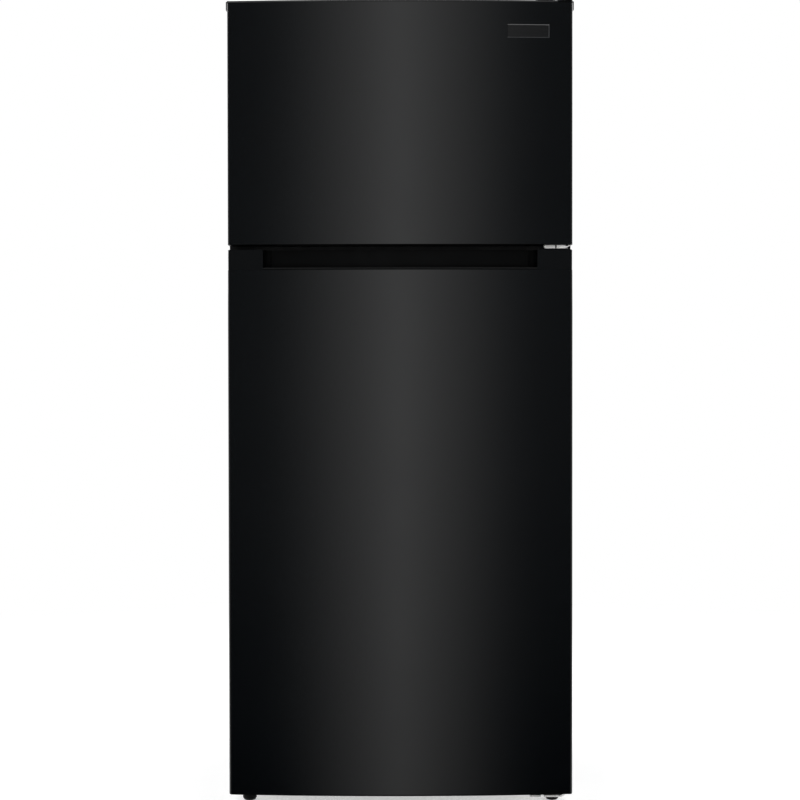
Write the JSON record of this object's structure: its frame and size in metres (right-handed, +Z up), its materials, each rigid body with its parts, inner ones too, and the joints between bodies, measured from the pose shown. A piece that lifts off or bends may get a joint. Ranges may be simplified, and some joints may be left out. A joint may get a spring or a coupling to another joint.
{
  "type": "top freezer refrigerator",
  "caption": "Free-standing two-door top-freezer refrigerator with bowed black doors, a full-width handle pocket, shelves, drawers and door bins.",
  "frame": {"origin": "centre of the overall box, at floor level under the feet and rollers", "axes": "+Z up, the doors face -Y, +X is the hinge side, on the right seen from the front"},
  "size_m": [0.713, 0.742, 1.692],
  "materials": {
    "black_steel": "smooth satin black coating",
    "black_plastic": "fine satin moulded",
    "case_steel": "black, fine orange-peel texture",
    "grey_steel": "dark grey coated sheet",
    "zinc": "bright zinc plated",
    "liner": "white vacuum-formed, semi-gloss",
    "white_plastic": "white moulded, semi-gloss",
    "clear_plastic": "clear, slightly frosted",
    "grey_plastic": "mid grey moulded",
    "glass": "tempered, clear with green edge",
    "gasket": "dark grey flexible vinyl",
    "rubber": "black rubber",
    "foam": "rigid polyurethane foam",
    "compressor_paint": "black enamel",
    "copper": "copper tube",
    "aluminium": "bright fins",
    "white_wire": "white coated wire"
  },
  "bodies": {
    "cabinet": {"cabinet_shell": "case_steel", "back_panel": "grey_steel", "base_frame": "zinc", "insulation": "foam", "mullion_rail": "case_steel", "fridge_liner": "liner", "freezer_liner": "liner", "top_hinge": "zinc", "top_hinge_cover": "black_plastic", "middle_hinge": "zinc", "bottom_hinge": "zinc", "hinge_screws": "zinc", "hinge_hole_plugs": "black_plastic", "compressor": "compressor_paint", "compressor_mounts": "rubber", "relay_cover": "black_plastic", "condenser_coil": "aluminium", "condenser_fan": "black_plastic", "drain_pan": "black_plastic", "refrigerant_tubes": "copper", "rear_cover": "grey_steel", "cord_gland": "rubber", "shelf_frames": "white_plastic", "shelf_glass": "glass", "crisper_cover": "white_plastic", "control_housing": "white_plastic", "lamp_lens": "clear_plastic", "air_duct": "white_plastic", "evaporator_cover": "white_plastic", "evaporator_coil": "aluminium", "evaporator_fan": "black_plastic", "freezer_shelf": "white_wire"},
    "freezer_door": {"freezer_door_skin": "black_steel", "freezer_door_top_cap": "black_plastic", "freezer_door_bottom_cap": "black_plastic", "freezer_door_liner": "liner", "freezer_door_foam": "foam", "freezer_door_gasket": "gasket", "freezer_door_bins": "white_plastic", "name_plate": "grey_plastic"},
    "fridge_door": {"fridge_door_skin": "black_steel", "fridge_door_handle_cap": "black_plastic", "fridge_door_bottom_cap": "black_plastic", "fridge_door_liner": "liner", "fridge_door_foam": "foam", "fridge_door_gasket": "gasket", "fridge_door_bins": "white_plastic"},
    "dairy_lid": {"dairy_lid": "clear_plastic"},
    "crisper_left": {"crisper_left": "clear_plastic"},
    "crisper_right": {"crisper_right": "clear_plastic"},
    "humidity_slide": {"humidity_slide": "grey_plastic"},
    "temperature_knob": {"temperature_knob": "grey_plastic"},
    "freezer_control": {"freezer_control": "grey_plastic"},
    "roller_left": {"roller_left": "grey_plastic"},
    "roller_right": {"roller_right": "grey_plastic"},
    "foot_left": {"foot_left": "black_plastic"},
    "foot_right": {"foot_right": "black_plastic"},
    "condenser_fan_blade": {"condenser_fan_blade": "white_plastic"},
    "evaporator_fan_blade": {"evaporator_fan_blade": "white_plastic"}
  },
  "joints": [
    {"name": "freezer_door_hinge", "type": "hinge", "parent": "cabinet", "child": "freezer_door", "pos_m": [0.322, -0.336, 1.42], "axis": [0, 0, 1], "range_deg": [0, 130]},
    {"name": "fridge_door_hinge", "type": "hinge", "parent": "cabinet", "child": "fridge_door", "pos_m": [0.322, -0.336, 0.6], "axis": [0, 0, 1], "range_deg": [0, 130]},
    {"name": "dairy_lid_hinge", "type": "hinge", "parent": "fridge_door", "child": "dairy_lid", "pos_m": [0, -0.222, 1.084], "axis": [1, 0, 0], "range_deg": [0, 80]},
    {"name": "crisper_left_slide", "type": "slide", "parent": "cabinet", "child": "crisper_left", "axis": [0, -1, 0], "range_m": [0, 0.044]},
    {"name": "crisper_right_slide", "type": "slide", "parent": "cabinet", "child": "crisper_right", "axis": [0, -1, 0], "range_m": [0, 0.044]},
    {"name": "humidity_slide_travel", "type": "slide", "parent": "cabinet", "child": "humidity_slide", "axis": [1, 0, 0], "range_m": [-0.02, 0.02]},
    {"name": "temperature_knob_turn", "type": "hinge", "parent": "cabinet", "child": "temperature_knob", "pos_m": [0.105, -0.1, 1.095], "axis": [0, -1, 0], "range_deg": [-130, 130]},
    {"name": "freezer_control_travel", "type": "slide", "parent": "cabinet", "child": "freezer_control", "axis": [1, 0, 0], "range_m": [-0.015, 0.015]},
    {"name": "roller_left_spin", "type": "hinge", "parent": "cabinet", "child": "roller_left", "pos_m": [-0.3, 0.3, 0.018], "axis": [1, 0, 0], "continuous": true},
    {"name": "roller_right_spin", "type": "hinge", "parent": "cabinet", "child": "roller_right", "pos_m": [0.3, 0.3, 0.018], "axis": [1, 0, 0], "continuous": true},
    {"name": "foot_left_thread", "type": "hinge", "parent": "cabinet", "child": "foot_left", "pos_m": [-0.321, -0.235, 0.04], "axis": [0, 0, 1], "continuous": true},
    {"name": "foot_right_thread", "type": "hinge", "parent": "cabinet", "child": "foot_right", "pos_m": [0.321, -0.235, 0.04], "axis": [0, 0, 1], "continuous": true},
    {"name": "condenser_fan_spin", "type": "hinge", "parent": "cabinet", "child": "condenser_fan_blade", "pos_m": [-0.141, 0.262, 0.15], "axis": [1, 0, 0], "continuous": true},
    {"name": "evaporator_fan_spin", "type": "hinge", "parent": "cabinet", "child": "evaporator_fan_blade", "pos_m": [0, 0.254, 1.525], "axis": [0, 1, 0], "continuous": true}
  ]
}
